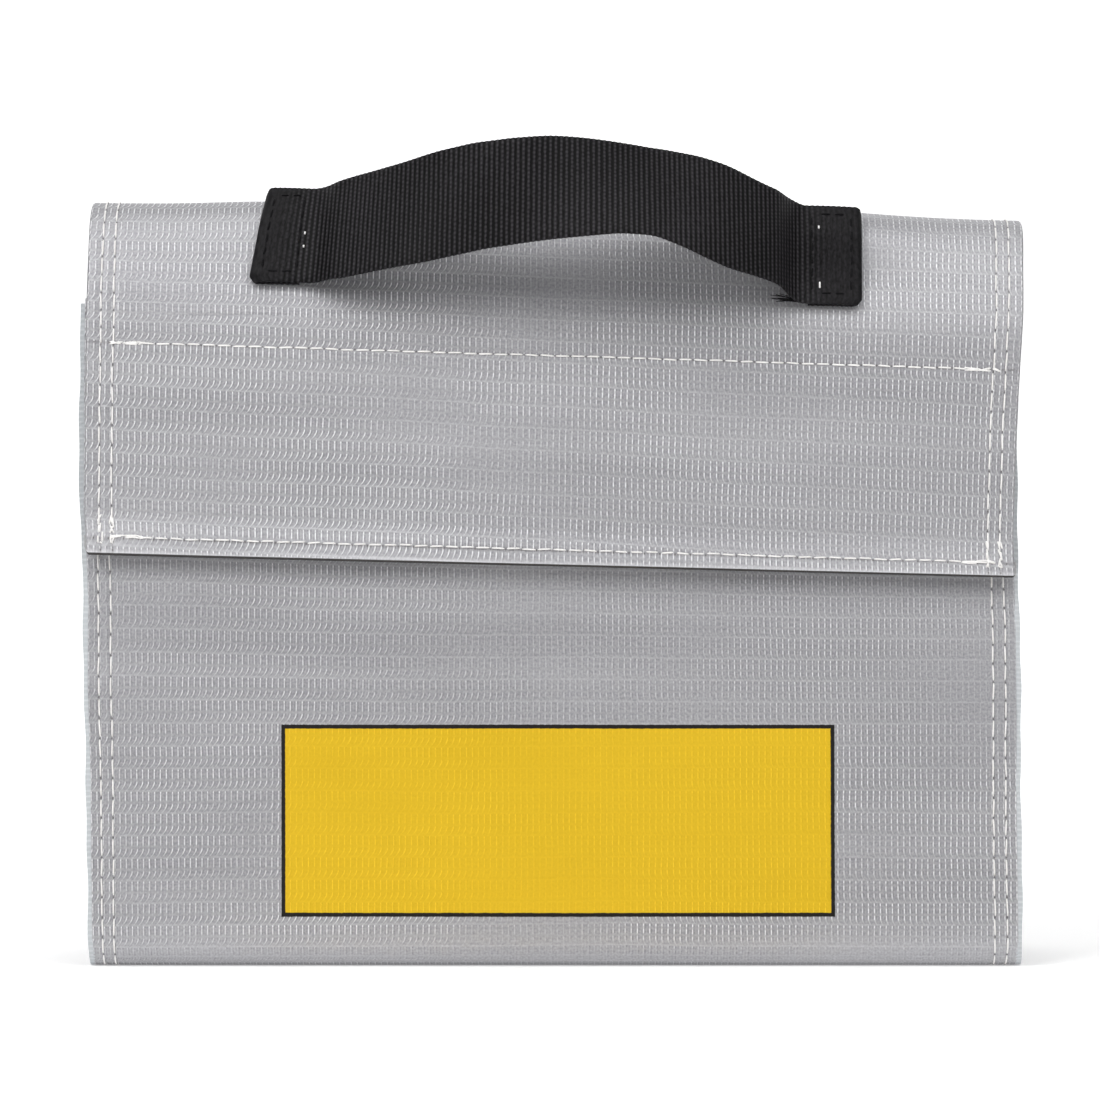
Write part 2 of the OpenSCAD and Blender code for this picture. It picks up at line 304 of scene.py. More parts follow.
# %% Values that change over a surface
class Field:
    """The output of a node, to reckon with."""

    def __init__(self, socket):
        self.socket = socket

    def __add__(self, other):
        return reckon("ADD", self, other)

    def __sub__(self, other):
        return reckon("SUBTRACT", self, other)

    def __rsub__(self, other):
        return reckon("SUBTRACT", other, self)

    def __mul__(self, other):
        return reckon("MULTIPLY", self, other)

    def __truediv__(self, other):
        return reckon("DIVIDE", self, other)

    def __pow__(self, other):
        return reckon("POWER", self, other)

    def __abs__(self):
        return reckon("ABSOLUTE", self)

    def at_least(self, low):
        return reckon("MAXIMUM", self, low)

    def at_most(self, high):
        return reckon("MINIMUM", self, high)

    def wave(self, pitch=1.0):
        """From -1 to 1 and back, once in each pitch."""
        return reckon("COSINE", self * (2 * math.pi / pitch))


def feed(socket, value):
    """Puts a field, a number or a colour on a socket."""
    if isinstance(value, Field):
        socket.id_data.links.new(value.socket, socket)
    else:
        socket.default_value = (*value, 1) if socket.type == "RGBA" else value


def reckon(kind, *values):
    """Adds a Math node to the material that the fields among the values belong to."""
    tree = next(value.socket.id_data for value in values if isinstance(value, Field))
    node = tree.nodes.new("ShaderNodeMath")
    node.operation = kind
    for socket, value in zip(node.inputs, values):
        feed(socket, value)
    return Field(node.outputs[0])


# %% A material and its nodes
class Finish:
    """A material, its shader, and the place on the piece that its pattern goes by."""

    def __init__(self, name, roughness, metallic=0.0, on_sheet=True):
        self.material = bpy.data.materials.new(name)
        self.material.use_nodes = True
        self.nodes = self.material.node_tree.nodes
        self.shader = next(n for n in self.nodes if n.type == "BSDF_PRINCIPLED")
        self.show("Roughness", roughness)
        self.show("Metallic", metallic)
        if on_sheet:
            self.place = self.add("ShaderNodeUVMap", settings={"uv_map": "cloth_run"})
            self.u, self.v = (self.add("ShaderNodeSeparateXYZ", part, Vector=self.place) for part in (0, 1))
        else:
            self.place = self.add("ShaderNodeTexCoord", 3)

    def show(self, name, value):
        """Sets one socket of the shader."""
        feed(self.shader.inputs[name], value)

    def add(self, kind, output=0, settings=None, **values):
        node = self.nodes.new(kind)
        for key, value in (settings or {}).items():
            setattr(node, key, value)
        for key, value in values.items():
            feed(node.inputs[key], value)
        return Field(node.outputs[output])

    def ramp(self, place, *stops):
        """A curve of values over a place from 0 to 1, as a ramp of greys or colours."""
        field = self.add("ShaderNodeValToRGB", Fac=place)
        points = field.socket.node.color_ramp.elements
        while len(points) < len(stops):
            points.new(0.5)
        for point, (where, shade) in zip(points, stops):
            point.position = where
            point.color = (*shade, 1) if isinstance(shade, tuple) else (shade, shade, shade, 1)
        return field

    def mix(self, share, first, second):
        """Mixes two colours by a share from 0 to 1."""
        field = self.add("ShaderNodeMix", 2, {"data_type": "RGBA"})
        for number, value in ((0, share), (6, first), (7, second)):
            feed(field.socket.node.inputs[number], value)
        return field

    def cloud(self, scale, stretch=None, detail=2.0):
        """Soft noise; scale is in clouds per metre."""
        place = self.add("ShaderNodeMapping", Vector=self.place, Scale=stretch) if stretch else self.place
        return self.add("ShaderNodeTexNoise", Vector=place, Scale=scale, Detail=detail)

    def bump(self, height, strength, distance):
        self.show("Normal", self.add("ShaderNodeBump", Height=height, Strength=strength, Distance=distance))


# %% [markdown]
# ## The silver cloth
# The cloth is woven of glass yarn and coated with silver-grey plastic. Under the coat the thick yarns stand up
# as short upright ribs about 1.5 mm apart, in rows of about 5.6 mm: a straight dash, then one that slants
# away, then a faint cross line. The ribs are a bump, and their highlights are also painted into the colour as
# pale dashes, with painted shade beside them. A picture of the cloth would be easier, but a pattern made of
# nodes stays sharp and has no edges.

# %% The weave under the coat
rib_pitch = 1.54 * mm
weave_pitch = 5.6 * mm
# the ribs, and the highlights painted on them, slant one way on each half, as the light falls on them
skew_turn = 30 * mm    # ribs slant one way left of the middle, and the other way right of it
# how bright each rib's painted highlight is along its row, on the left half and on the right half
left_beads = [(0.0, 0.05), (0.03, 1.0), (0.07, 1.0), (0.12, 0.45), (0.19, 0.80), (0.38, 0.85), (0.46, 0.12),
              (0.54, 0.12), (0.60, 0.90), (0.72, 0.80), (0.82, 0.40), (0.94, 0.12)]
right_beads = [(0.0, 0.10), (0.04, 0.90), (0.10, 0.90), (0.15, 0.30), (0.22, 0.35), (0.28, 0.95), (0.42, 0.90),
               (0.48, 0.15), (0.54, 0.15), (0.60, 0.90), (0.70, 0.85), (0.78, 0.40), (0.94, 0.12)]


def weave(cloth, skew):
    """The weave's ribs with their painted highlight, from 0 to 1, the painted shade beside them, and the faint
    cross lines.
    """
    across = cloth.u / rib_pitch + (cloth.cloud(60) - 0.5) * 0.5
    along = cloth.u * (skew / weave_pitch) + cloth.v / weave_pitch + (cloth.cloud(9) - 0.5) * 0.5
    part = reckon("FRACT", along)
    side = (cloth.u / skew_turn).at_least(-1.0).at_most(1.0)
    bent = (part - (side * 0.07 + 0.62)).at_least(0.0)
    yarn = across - bent ** 2.0 * side * 5.0

    def ridge_line(shift, sharpness):
        return ((yarn - shift).wave() * 0.5 + 0.5) ** sharpness

    dash = cloth.mix(side * 0.5 + 0.5, cloth.ramp(part, *left_beads), cloth.ramp(part, *right_beads))
    patch = cloth.ramp(cloth.cloud(30, (0.7, 1.2, 1), 3.0), (0.32, 0.25), (0.60, 1.0))
    cell = cloth.add("ShaderNodeCombineXYZ", X=reckon("ROUND", yarn), Y=reckon("FLOOR", along * 2.0))
    single = cloth.add("ShaderNodeTexWhiteNoise", settings={"noise_dimensions": "2D"}, Vector=cell)
    shown = dash * patch * (single * 0.35 + 0.70) * (abs(side) * 0.45 + 0.55)
    # painted shade beside each rib
    beside = ridge_line(-0.24, 4.0) * 0.5 + ridge_line(0.22, 5.0)
    cross = cloth.ramp(part, (0.0, 0.2), (0.025, 0.0), (0.90, 0.0), (0.95, 1.0))
    rungs = abs(along.wave(0.5)) ** 6.0
    return ridge_line(0.0, 13.0) * shown, beside * shown, rungs * 0.35 + cross


print("ribs lie", rib_pitch / mm, "mm apart and are bound every", weave_pitch / mm, "mm")

# %% Needle holes
hole_half, furrow_half = 0.40 * mm, 0.55 * mm


def needle_holes(cloth, upright_rows, upright_pitch, level_rows, level_pitch):
    """Where shade is painted: 1 in each needle hole of the stitched rows, a little along their furrows, and 0
    elsewhere.
    """
    def hole(off_row, place, pitch):
        off_hole = reckon("PINGPONG", place, pitch / 2)
        far = reckon("SQRT", off_row ** 2.0 + off_hole ** 2.0)
        pit = 1.0 - (far / hole_half).at_most(1.0)
        furrow = 1.0 - (abs(off_row) / furrow_half).at_most(1.0)
        return pit.at_least(furrow * 0.28)

    found = 0.0
    for row in upright_rows:
        found = reckon("MAXIMUM", found, hole(abs(cloth.u) - row, cloth.v, upright_pitch))
    for row in level_rows:
        found = reckon("MAXIMUM", found, hole(cloth.v - row, cloth.u, level_pitch))
    return found


print("needle holes are", 2 * hole_half / mm, "mm wide")

# %% A field printed on the cloth
panel_border = 1.0 * mm
ink_dark, ink_highlight, border_ink = (0.72, 0.455, 0.006), (0.93, 0.63, 0.020), (0.004, 0.002, 0.001)


def printed_panel(cloth, panel, colour, light):
    """A plain yellow field with a thin black border, printed over the weave."""
    left, right, top, bottom = panel

    def inside(shrink):
        across = (right - left) / 2 - shrink - abs(cloth.u - (left + right) / 2)
        along = (bottom - top) / 2 - shrink - abs(cloth.v - (top + bottom) / 2)
        ragged = (cloth.cloud(900) - 0.5) * (0.25 * mm)
        return ((across.at_most(along) + ragged) / (0.12 * mm)).at_least(0.0).at_most(1.0)

    # the ink is painted lighter under the weave's painted highlights and darker in its painted shade
    ink = cloth.ramp(light, (0.0, ink_dark), (0.9, ink_highlight))
    return cloth.mix(inside(panel_border), cloth.mix(inside(0.0), colour, border_ink), ink)


# %% [markdown]
# The finish of the face puts these together. It also has broad soft clouds, fine grain and a few winding
# creases, which are painted a little darker as shade; it is smoother where a fold has worn and painted paler
# there as a highlight, and quieter in one place where the coat lies thicker.

# %% The coated face
silver_dark, silver_light = (0.262, 0.260, 0.277), (0.93, 0.93, 0.95)
# colours of painted shade: in the needle holes, and in a thin line under the flap's crease
hole_shade, crease_shade_colour = (0.050, 0.040, 0.036), (0.042, 0.040, 0.040)


def silver_cloth(name, rows=(), row_pitch=5 * mm, level_rows=(), level_pitch=3.9 * mm, rubbed_and_highlight=None, panel=None,
                 skew=0.0, quiet=None, crease_shade=None):
    """The coated face of the cloth. Three of the settings are runs along v, given as middle and half length: a
    worn fold, smoother and painted paler in its middle as a highlight by the third number it gives; a place
    where the weave is quieter; and a thin line of painted shade."""
    cloth = Finish(name, 0.45, 0.35)

    def off(run):
        return abs(cloth.v - run[0]) / run[1]

    ribs_and_highlight, rib_shade, cross = weave(cloth, skew)
    if rubbed_and_highlight:
        near = off(rubbed_and_highlight).at_most(1.0)
        ribs_and_highlight = ribs_and_highlight * near
    if quiet:
        ribs_and_highlight = ribs_and_highlight * cloth.ramp(off(quiet), (0.5, 0.60), (1.0, 1.0))
    broad = cloth.cloud(16, (0.5, 1.6, 1), 4.0)
    streak = cloth.cloud(40, (0.12, 2.5, 1))
    winding = abs(cloth.cloud(13, (0.22, 1.0, 1), 3.0) - 0.5)
    # winding creases are a bump, and are also painted a little darker as shade
    crease = 1.0 - (winding / 0.008).at_most(1.0)
    crease = crease * cloth.ramp(cloth.cloud(21), (0.52, 0.0), (0.62, 1.0))
    grain = cloth.cloud(1500, detail=4.0)
    # the ribs' painted highlight raises the colour's lightness, and the painted shade beside them lowers it
    light = ribs_and_highlight * 1.35 + 0.15 + rib_shade * -0.20 + cross * 0.07 + crease * -0.05
    light = light + (grain - 0.5) * 0.55 + (broad - 0.5) * 0.18 + (streak - 0.5) * 0.14
    # a worn fold is painted paler in its middle, as a highlight
    if rubbed_and_highlight:
        light = light + (near * -rubbed_and_highlight[2] + rubbed_and_highlight[2])
    colour = cloth.mix(light, silver_dark, silver_light)
    # a thin line of painted shade under the flap's crease
    if crease_shade:
        colour = cloth.mix(cloth.ramp(off(crease_shade), (0.72, 1.0), (0.90, 0.0)), colour, crease_shade_colour)
    if panel:
        colour = printed_panel(cloth, panel, colour, light)
    if rows:
        # needle holes and the furrows along the rows are painted dark as shade
        hole = needle_holes(cloth, rows, row_pitch, level_rows, level_pitch)
        colour = cloth.mix(hole * 0.9, colour, hole_shade)
    cloth.show("Base Color", colour)
    cloth.show("Roughness", ribs_and_highlight * -0.16 + (broad * 0.14 + 0.42))
    cloth.bump(ribs_and_highlight + cross * 0.15 + grain * 0.12 + crease * -0.4, 0.8, 0.2 * mm)
    return cloth.material


# %% [markdown]
# The back of the cloth isn't coated as thickly, so the grey glass yarn shows in a plain check. A cut edge
# shows the ends of the yarns as pale dots. Each gets a finish of its own, which the Solidify modifier puts
# on the sheet's inner side and rim.

# %% Inside and cut edge of the cloth
weft_step = 1.4 * mm


def yarn_ends(cloth):
    """The raw border of a piece: bluish, with the pale ends of its yarns as dots."""
    dots = (cloth.v.wave(weft_step) * 0.5 + 0.5) ** 2.0 * cloth.cloud(420)
    return cloth.ramp(dots, (0.05, (0.50, 0.525, 0.545)), (0.80, (0.64, 0.66, 0.68)))


def inner_cloth(name, raw_past=None):
    cloth = Finish(name, 0.62, 0.10)
    check = cloth.u.wave(rib_pitch) * cloth.v.wave(weft_step) * 0.5 + 0.5
    shade = check * 0.35 + cloth.cloud(25, detail=4.0) * 0.6
    colour = cloth.ramp(shade, (0.1, (0.23, 0.23, 0.24)), (0.9, (0.50, 0.50, 0.50)))
    if raw_past:
        colour = cloth.mix(reckon("LESS_THAN", cloth.u, raw_past), colour, yarn_ends(cloth))
    cloth.show("Base Color", colour)
    cloth.bump(check, 0.5, 0.15 * mm)
    return cloth.material


def cut_edge(name):
    cloth = Finish(name, 0.75)
    shade = cloth.v.wave(weft_step) * 0.3 + cloth.cloud(700)
    cloth.show("Base Color", cloth.ramp(shade, (0.2, (0.20, 0.21, 0.25)), (0.8, (0.62, 0.63, 0.66))))
    cloth.bump(shade, 0.6, 0.1 * mm)
    return cloth.material


cloth_inside = inner_cloth("cloth_inside")
cloth_cut_edge = cut_edge("cloth_cut_edge")
print("made", cloth_inside.name, "and", cloth_cut_edge.name)

# %% [markdown]
# ## Front, base and back
# One strip of cloth goes down the front, under the base and up the back, and a little way on over the
# mouth. At the front mouth it is turned in as a hem. The seam stitches pull it down in two lines along each
# side, so the face dips there and puffs up between. The yellow panel is printed on the front, left plain.

# %% The strip of cloth
cloth_t = 0.5 * mm
panel_half = 118.8 * mm
seam_rows = (112.8 * mm, 116.0 * mm)
seam_pitch = 5 * mm
mouth_hem, mouth_round = 10 * mm, 0.85 * mm
hood_lap = 9 * mm
hood_start = back_mouth + hood_lap
middle_columns, border_from = np.linspace(0, 108, 28) * mm, 109 * mm
column_step, row_step = 1.2 * mm, 1.25 * mm


def seam_dip(x, s, rows, pitch, depth=0.20 * mm):
    """How far the stitches pull the cloth down near their rows."""
    dip = 0.0
    for row in rows:
        tight = 0.75 + 0.25 * np.cos(2 * np.pi * s / pitch)
        dip = dip + depth * tight * np.exp(-((np.abs(x) - row) / (0.7 * mm)) ** 2)
    return dip


def strip_place(x, s):
    place, drop = turn_under(-s, 0.0, mouth_round)
    s_on = np.maximum(-place, 0)
    widen = 1 + 0.0025 * smooth((s_on - back_mouth) / hood_lap)
    seam = seam_dip(x, s_on, seam_rows, seam_pitch) * (drop < 0.1 * mm)
    edge_lift = 0.12 * mm * np.sin(s_on / (7 * mm)) * smooth((np.abs(x) - 116.5 * mm) / (2.3 * mm))
    return on_bag(x * widen, s_on, edge_lift - drop - seam)


strip_columns = mirrored(np.concatenate([
    middle_columns, spread(border_from, panel_half, column_step, seam_rows)]))
strip_rows = np.concatenate([
    -turned_places(0.0, mouth_round, mouth_hem)[::-1], spread(0, hood_start, row_step)[2:]])
panel_edges = (-68.6 * mm, 71.7 * mm, 106.4 * mm, 154.9 * mm)
# the fold at the front of the base is worn smoother and painted paler as a highlight
silver_printed = silver_cloth("silver_cloth_printed", seam_rows, seam_pitch, panel=panel_edges,
                              rubbed_and_highlight=(base_front, 9 * mm, 0.10), quiet=(panel_edges[2] - 19 * mm, 34 * mm))
pouch_cloth = lay_grid("pouch_cloth", strip_columns, strip_rows, strip_place)
thicken(pouch_cloth, cloth_t, [silver_printed, cloth_inside, cloth_cut_edge])
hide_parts("main_panel")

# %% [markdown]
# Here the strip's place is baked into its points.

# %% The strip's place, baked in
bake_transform(pouch_cloth)
print("strip is", round((hood_start + mouth_hem) / mm), "mm long before it is folded")

# %% [markdown]
# ## The pleated sides
# Each side is a piece of the same cloth, folded inwards by a pleat that deepens towards the mouth, so that
# the bag can open wide or lie flat. Its edge is turned out as a flange and sewn behind the strip, and the
# raw edge of the flange shows past it. The web is a grid from front to back, and the flange is added ring
# by ring along its border, which a plain grid can't follow round the corners of the base.

# %% Rows and pleat of a side
flange_in = 111.5 * mm
pleat_depth, mouth_height = 25 * mm, 167 * mm
web_back = 1.7 * mm
web_columns = 40


def side_web_rows():
    """Places along the line from the back edge of the base up to just below the back mouth."""
    base_end = base_back - 7 * mm
    return np.concatenate([np.linspace(base_end, base_back + 6 * mm, 14)[:-1],
                           np.arange(base_back + 6 * mm, back_mouth - 1 * mm, 2.0 * mm)])


def pleat(z, share):
    """How far the web stands in at height z, share of the way from front to back."""
    rise = np.clip(z / mouth_height, 0, 1.05)
    across = np.sqrt((2 * share - 1) ** 2 + 0.03 ** 2)
    return pleat_depth * rise ** 1.3 * np.clip(1.03 - across ** 1.15, 0, 1) * (1 - across ** 8)


print("at the mouth the pleat stands in by", round(pleat(mouth_height, 0.5) / mm, 1), "mm")

# %% Web of a side
def side_web(runs):
    """The pleated grid from front to back: its points, their flat places, its faces and its rim."""
    edge_y, edge_z = on_line(runs, -web_back)
    share = np.linspace(0, 1, web_columns + 1)
    x = flange_in - pleat(edge_z[:, None], share[None, :])
    y = edge_y[:, None] * (2 * share[None, :] - 1)
    z = np.broadcast_to(edge_z[:, None], x.shape)
    step = np.hypot(np.diff(x, axis=1), np.diff(y, axis=1))
    width = np.concatenate([np.zeros((len(runs), 1)), np.cumsum(step, axis=1)], axis=1)
    flat = np.stack([width - width[:, -1:] / 2, np.broadcast_to(runs[:, None], x.shape)], axis=-1)
    columns = web_columns + 1
    faces = [(a, a + 1, a + columns + 1, a + columns)
             for j in range(len(runs) - 1) for a in range(j * columns, j * columns + web_columns)]
    front = [j * columns for j in range(len(runs) - 1, 0, -1)]
    rim = front + list(range(web_columns)) + [j * columns + web_columns for j in range(len(runs))]
    return np.stack([x, y, z], axis=-1).reshape(-1, 3), flat.reshape(-1, 2), faces, rim


# %% The two sides, with their flanges
side_t = 0.45 * mm
flange_flat = -60 * mm       # where the flange starts on the flat sheet
raw_border = -66.2 * mm      # the bare yarns show past this place
flange_rings = [(0.15, 1.35), (0.5, 1.0), (1.1, 0.7), (2.2, 0.58), (3.5, 0.56), (4.8, 0.56), (6.2, 0.56),
                (7.2, 0.56), (7.9, 0.56), (8.5, 0.56)]
silver_plain = silver_cloth("silver_cloth_plain")
side_inside = inner_cloth("side_cloth_inside", raw_past=raw_border)


def side_piece(name, side, node):
    runs = side_web_rows()
    web_points, web_flat, faces, last = side_web(runs)
    points, flat = [web_points], [web_flat]
    middle = (base_front + base_back) / 2
    rim_runs = np.concatenate([2 * middle - runs[:0:-1],
                               np.linspace(2 * middle - runs[0], runs[0], web_columns + 1)[:-1], runs])
    for out_x, deep in flange_rings:
        ragged = 0.25 * mm * np.sin(rim_runs / (4.1 * mm)) * np.sin(rim_runs / (9.7 * mm) + side)
        x = flange_in + out_x * mm + ragged * (out_x > 8)
        y, z = on_line(rim_runs, -deep * mm - seam_dip(x, rim_runs, seam_rows, seam_pitch))
        first = last[-1] + 1 if len(points) > 1 else len(web_points)
        points.append(np.stack([np.broadcast_to(x, y.shape), y, z], axis=-1))
        flat.append(np.stack([np.full(len(rim_runs), flange_flat - out_x * mm), rim_runs], axis=-1))
        ring = list(range(first, first + len(rim_runs)))
        faces += [(last[k + 1], last[k], ring[k], ring[k + 1]) for k in range(len(ring) - 1)]
        last = ring
    points = np.concatenate(points) * (side, 1, 1)
    piece = new_piece(name, settle(points), [f if side > 0 else f[::-1] for f in faces])
    write_uv(piece.data, *np.concatenate(flat).T)
    thicken(piece, side_t, [silver_plain, side_inside, cloth_cut_edge])
    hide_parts(node)
    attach(piece, "pouch")


side_piece("left_side_cloth", -1, "left_gusset")
side_piece("right_side_cloth", 1, "right_gusset")

# %% [markdown]
# ## Hood and flap
# The cloth goes on over the mouth as a soft hood and hangs down in front as the flap. Its sides and its lower
# edge are turned in as hems, which is why the edges of the flap look thick, round and bright; the brightness
# of the lower edge is also painted as a highlight. Turning the edge of the grid under, as a sewer does, gives
# the round edge and the hem in one piece. The hood sits a little to the right, and the flap comes back and
# grows narrower towards its lower edge. Its rows and its edge hang lower on the right.

# %% How the hood and flap hang
flap_half = 119.1 * mm
hood_rows = (112.1 * mm, 115.3 * mm)
row_drops = (13.0 * mm, 61.4 * mm)
tape_rows = tuple(flap_fold + drop for drop in row_drops)
tape_pitch = 3.9 * mm
edge_flare, flare_run = 1.5 * mm, 10 * mm
hang_runs = [flap_fold, *tape_rows, flap_end]
hang_drops = np.array([0.0, -0.25, 0.76, 1.5]) * mm
hang_slopes = [0.0, 0.0103, 0.0051, 0.0029]


def flap_share(s):
    """0 on the hood, growing to 1 at the lower edge of the flap."""
    return smooth((s - flap_fold) / (flap_end - flap_fold))


def hood_shift(x, s):
    """Where the hood and its flap hang, against the pouch."""
    fronted = smooth((s - hood_start) / (30 * mm))
    return x * (1 - 0.005 * flap_share(s)) + (0.9 * fronted - 0.8 * flap_share(s)) * mm


def hang(x, s):
    """How far the flap's rows and lower edge hang below the pattern, more on the right."""
    return np.interp(s, hang_runs, hang_drops) + np.interp(s, hang_runs, hang_slopes) * x


def on_hood(x, s, out=0.0):
    """The settled point on the hood or flap at x across, s along the line and out from the face."""
    flare = edge_flare * smooth((s - flap_end + flare_run) / flare_run)
    return on_bag(hood_shift(x, s), s + hang(x, s), out + flare)


edge_fall = (hang(flap_half, flap_end) - hang(-flap_half, flap_end)) / mm
print("by its own hang the flap's edge falls", round(edge_fall, 2), "mm from left to right")

# %% [markdown]
# The lower edge of the flap is pressed to a point like a drop, and its rolled crease is worn smooth and
# painted bright as a highlight, with a thin line of painted shade right under it. The two rows of stitches
# across the flap pull it in.

# %% Hems and corners of the hood
side_hem, side_round = 7.5 * mm, 0.75 * mm
lower_hem, lower_round = 2.4 * mm, 0.7 * mm
corner_round = 0.9 * mm
hem_point = 1.0 * mm
hem_face = 0.1 * mm          # cloth that has dropped further than this lies under a hem
tape_row_half = 112 * mm


def round_corner(across, along):
    """Draws the lower corners of the flap in."""
    near_x = np.clip((across - (flap_half - corner_round)) / corner_round, 0, 1)
    near_s = np.clip((along - (flap_end - corner_round)) / corner_round, 0, 1)
    in_x = corner_round * near_x * (np.sqrt(1 - near_s ** 2 / 2) - 1)
    in_s = corner_round * near_s * (np.sqrt(1 - near_x ** 2 / 2) - 1)
    return np.where(near_x > 0, across + in_x, across), np.where(near_s > 0, along + in_s, along)


def hood_place(x, s):
    def close_to_edge(place, reach, run):
        return smooth((place - flap_end + reach * mm) / (run * mm))

    across, drop_x = turn_under(np.abs(x), flap_half, side_round)
    along, drop_s = turn_under(s, flap_end, lower_round)
    across, along = round_corner(across, along)
    along = along - 0.8 * mm * drop_x / (2 * side_round) * close_to_edge(along, 6, 5)
    pressed = hem_point * (1 - drop_s / (2 * lower_round)) - 0.66 * hem_point
    along = along + pressed * close_to_edge(s, 7, 5)
    dip = seam_dip(x, s, hood_rows, seam_pitch)
    tight = 0.7 + 0.3 * np.cos(2 * np.pi * x / tape_pitch)
    for row in tape_rows:
        dip = dip + 0.16 * mm * tight * np.exp(-((s - row) / (0.7 * mm)) ** 2) * (np.abs(x) < tape_row_half)
    dip = dip * (drop_x < hem_face) * (drop_s < hem_face)
    wave = 0.25 * mm * np.sin(x / (17 * mm)) * np.sin(x / (41 * mm) + 1) * close_to_edge(s, 8, 8)
    roll = 0.35 * mm * np.exp(-((s - flap_end + 0.9 * mm) / (0.6 * mm)) ** 2)
    return on_hood(np.sign(x) * across, along, wave + roll - drop_x - drop_s - dip)


# %% The hood cloth
hood_columns = mirrored(np.concatenate([
    middle_columns, spread(border_from, flap_half - side_round, column_step, hood_rows)[:-1],
    turned_places(flap_half, side_round, side_hem)]))
hood_lines = np.concatenate([
    spread(hood_start, flap_end - lower_round, row_step, tape_rows)[:-1],
    turned_places(flap_end, lower_round, lower_hem)])
# the flap's lower crease is worn smoother and painted paler as a highlight, with a thin line of painted shade
# under it
silver_hood = silver_cloth("silver_cloth_hood", hood_rows, seam_pitch, tape_rows, tape_pitch,
                           rubbed_and_highlight=(flap_end - 0.8 * mm, 0.8 * mm, 0.26), skew=-0.022,
                           crease_shade=(flap_end - 0.42 * mm, 0.45 * mm))
hood_cloth = lay_grid("hood_cloth", hood_columns, hood_lines, hood_place)
thicken(hood_cloth, cloth_t, [silver_hood, cloth_inside, cloth_cut_edge])
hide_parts("top_panel", "flap_panel")
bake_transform(hood_cloth)

# %% [markdown]
# ## Thread
# The bag is sewn with thick ivory thread. Each visible stitch is a short bar that rises out of one needle
# hole and dives into the next. Bump lines would be cheaper, but real bars catch the light and throw small
# shadows. One stitch is shaped from a sphere: stretched, blunted, and its ends pushed down. All others are
# copies of it, set on the cloth between two places.

# %% Two threads
def twisted_thread(name, dark, light, gloss):
    thread = Finish(name, 0.7, on_sheet=False)
    thread.show("Specular IOR Level", gloss)
    fuzz = thread.cloud(2600, detail=3.0)
    shade = fuzz * 0.5 + thread.cloud(140) * 0.5
    thread.show("Base Color", thread.ramp(shade, (0.3, dark), (0.68, light)))
    thread.bump(fuzz, 0.5, 0.08 * mm)
    return thread.material


ivory_thread = twisted_thread("ivory_thread", (0.77, 0.75, 0.735), (0.96, 0.95, 0.94), 0.5)
black_thread = twisted_thread("black_sewing_thread", (0.002, 0.002, 0.0025), (0.010, 0.010, 0.011), 0.1)
print("made", ivory_thread.name, "and", black_thread.name)

# %% One stitch
thread_half = 0.225 * mm
stitch_rise, stitch_dive = 0.14 * mm, 0.34 * mm
bpy.ops.object.select_all(action="DESELECT")
bpy.ops.mesh.primitive_uv_sphere_add(segments=6, ring_count=6, radius=0.5)
one_stitch = bpy.context.object
bpy.ops.object.mode_set(mode="EDIT")
bpy.ops.transform.rotate(value=math.pi / 2, orient_axis="Y", center_override=(0, 0, 0))
bpy.ops.object.mode_set(mode="OBJECT")
stitch_points = np.array([v.co for v in one_stitch.data.vertices])
stitch_faces = sorted(tuple(p.vertices) for p in one_stitch.data.polygons)
bar = np.sign(stitch_points[:, 0]) * np.abs(2 * stitch_points[:, 0]) ** 0.7 / 2
girth = 2 * thread_half * stitch_points[:, 1:] * (1 + 0.5 * np.abs(2 * bar)[:, None] ** 2)
arched = girth[:, 1] + stitch_rise - stitch_dive * np.abs(2 * bar) ** 3
stitch_shape = np.column_stack([bar, girth[:, 0], arched])
bpy.data.objects.remove(one_stitch)
print("one stitch has", len(stitch_faces), "faces")

# %% Sewing: copies of the stitch between pairs of places
chance = random.Random(20)
stitch_shown = 0.87


def row_ends(start, stop, pitch, shown, fixed, upright):
    """The two ends of each stitch of a row; shown is the share of the pitch that lies on top."""
    first = math.ceil(start / pitch - 1e-6)
    ends = []
    for k in range(first, math.floor(stop / pitch + 1e-6)):
        middle = (k + 0.5) * pitch
        half = shown * pitch / 2 * chance.uniform(0.94, 1.06)
        off = [fixed + chance.uniform(-0.15, 0.15) * mm for _ in range(2)]
        pairs = [(middle - half, off[0]), (middle + half, off[1])]
        ends.append([(b, a) if upright else (a, b) for a, b in pairs])
    return ends


def tack_ends(start, stop, pitch, fixed, upright, slip=0.5):
    """Back-tacking: the machine runs to and fro, and stitches pile up beside each other."""
    ends = []
    for _ in range(2):
        place = start + chance.uniform(0, 0.4) * pitch
        while place < stop:
            off = [fixed + chance.uniform(-slip, slip) * mm for _ in range(2)]
            pairs = [(place, off[0]), (min(place + pitch * chance.uniform(0.7, 1.1), stop), off[1])]
            ends.append([(b, a) if upright else (a, b) for a, b in pairs])
            place += pitch * chance.uniform(0.75, 1.05)
    return ends


